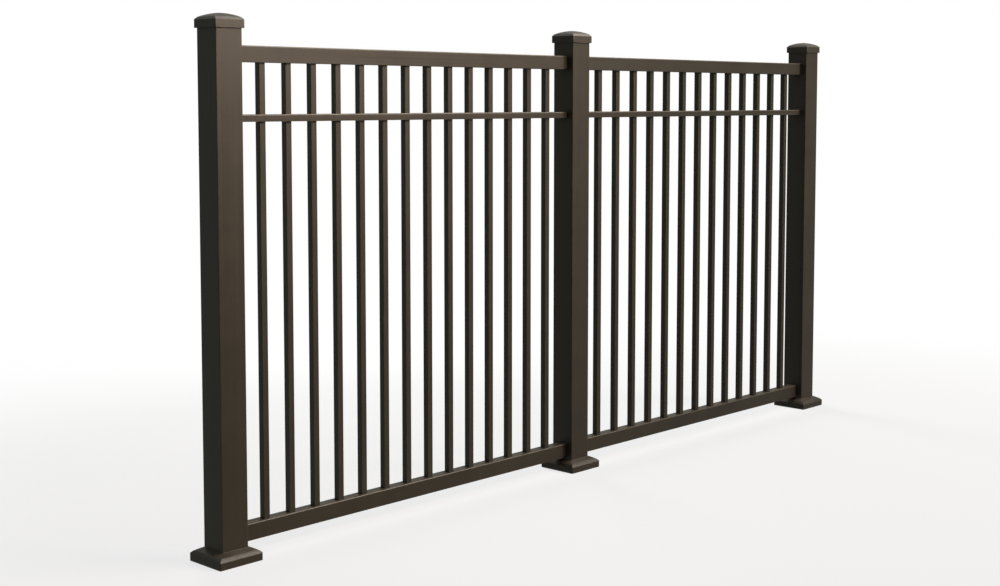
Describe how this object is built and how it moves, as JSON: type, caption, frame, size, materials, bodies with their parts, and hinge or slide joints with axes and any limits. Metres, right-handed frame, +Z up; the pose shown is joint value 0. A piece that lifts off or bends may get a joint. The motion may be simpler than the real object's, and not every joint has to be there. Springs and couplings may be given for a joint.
{
  "type": "aluminium fence panel",
  "caption": "Run of flat-topped picket fence: square posts with domed caps and base covers, joined by channel rails and square pickets.",
  "frame": {"origin": "centre of the underside of the middle post's base plate, at ground level", "axes": "+X along the fence to the right as seen from the front, +Y to the back, +Z up"},
  "size_m": [2.687, 0.127, 1.325],
  "materials": {
    "bronze_coat": "satin",
    "bronze_plate": "matte"
  },
  "bodies": {
    "root": {"left_post": "bronze_coat", "left_post_cap": "bronze_coat", "left_base_cover": "bronze_coat", "left_base_plate": "bronze_plate", "middle_post": "bronze_coat", "middle_post_cap": "bronze_coat", "middle_base_cover": "bronze_coat", "middle_base_plate": "bronze_plate", "right_post": "bronze_coat", "right_post_cap": "bronze_coat", "right_base_cover": "bronze_coat", "right_base_plate": "bronze_plate", "left_top_rail": "bronze_coat", "left_mid_rail": "bronze_coat", "left_bottom_rail": "bronze_coat", "left_pickets": "bronze_coat", "right_top_rail": "bronze_coat", "right_mid_rail": "bronze_coat", "right_bottom_rail": "bronze_coat", "right_pickets": "bronze_coat"}
  },
  "joints": []
}
